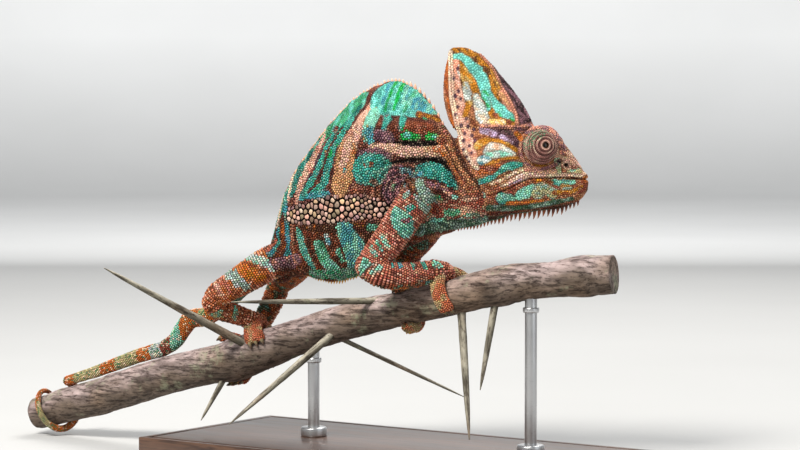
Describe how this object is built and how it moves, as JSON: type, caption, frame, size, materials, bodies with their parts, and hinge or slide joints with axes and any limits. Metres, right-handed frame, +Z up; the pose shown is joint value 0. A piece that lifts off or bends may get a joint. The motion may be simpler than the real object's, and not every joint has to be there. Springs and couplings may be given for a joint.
{
  "type": "veiled chameleon",
  "caption": "Life-size museum model of an adult male veiled chameleon gripping a cut thorny branch, held over a flat base by two rods.",
  "frame": {"origin": "centre of the base's flat underside", "axes": "+X along the perch towards the animal's head, +Y to the animal's left, +Z up"},
  "size_m": [0.3873, 0.1402, 0.2115],
  "materials": {
    "skin": "scaly skin banded teal, ochre, cream and brick red, satin",
    "eye_lid": "ringed granular lid, mauve brown, satin",
    "eye": "wet, dark, with a copper iris ring",
    "claw": "horn, translucent brown, satin",
    "bark": "grey-brown cracked bark with lichen, matt",
    "base_wood": "dark stained wood, satin lacquer",
    "rod": "brushed, satin"
  },
  "bodies": {
    "root": {"casque": "skin", "head": "skin", "lower_jaw": "skin", "neck": "skin", "trunk": "skin", "upper_arm_right": "skin", "forearm_right": "skin", "forefoot_right": "skin", "thigh_right": "skin", "shin_right": "skin", "hindfoot_right": "skin", "upper_arm_left": "skin", "forearm_left": "skin", "forefoot_left": "skin", "thigh_left": "skin", "shin_left": "skin", "hindfoot_left": "skin", "tail_base": "skin", "tail_middle": "skin", "tail_tip": "skin", "eye_turret_right": "eye_lid", "eyeball_right": "eye", "eye_turret_left": "eye_lid", "eyeball_left": "eye", "perch_branch": "bark", "stand_base": "base_wood", "stand_rod_front": "rod", "stand_rod_rear": "rod"}
  },
  "joints": []
}
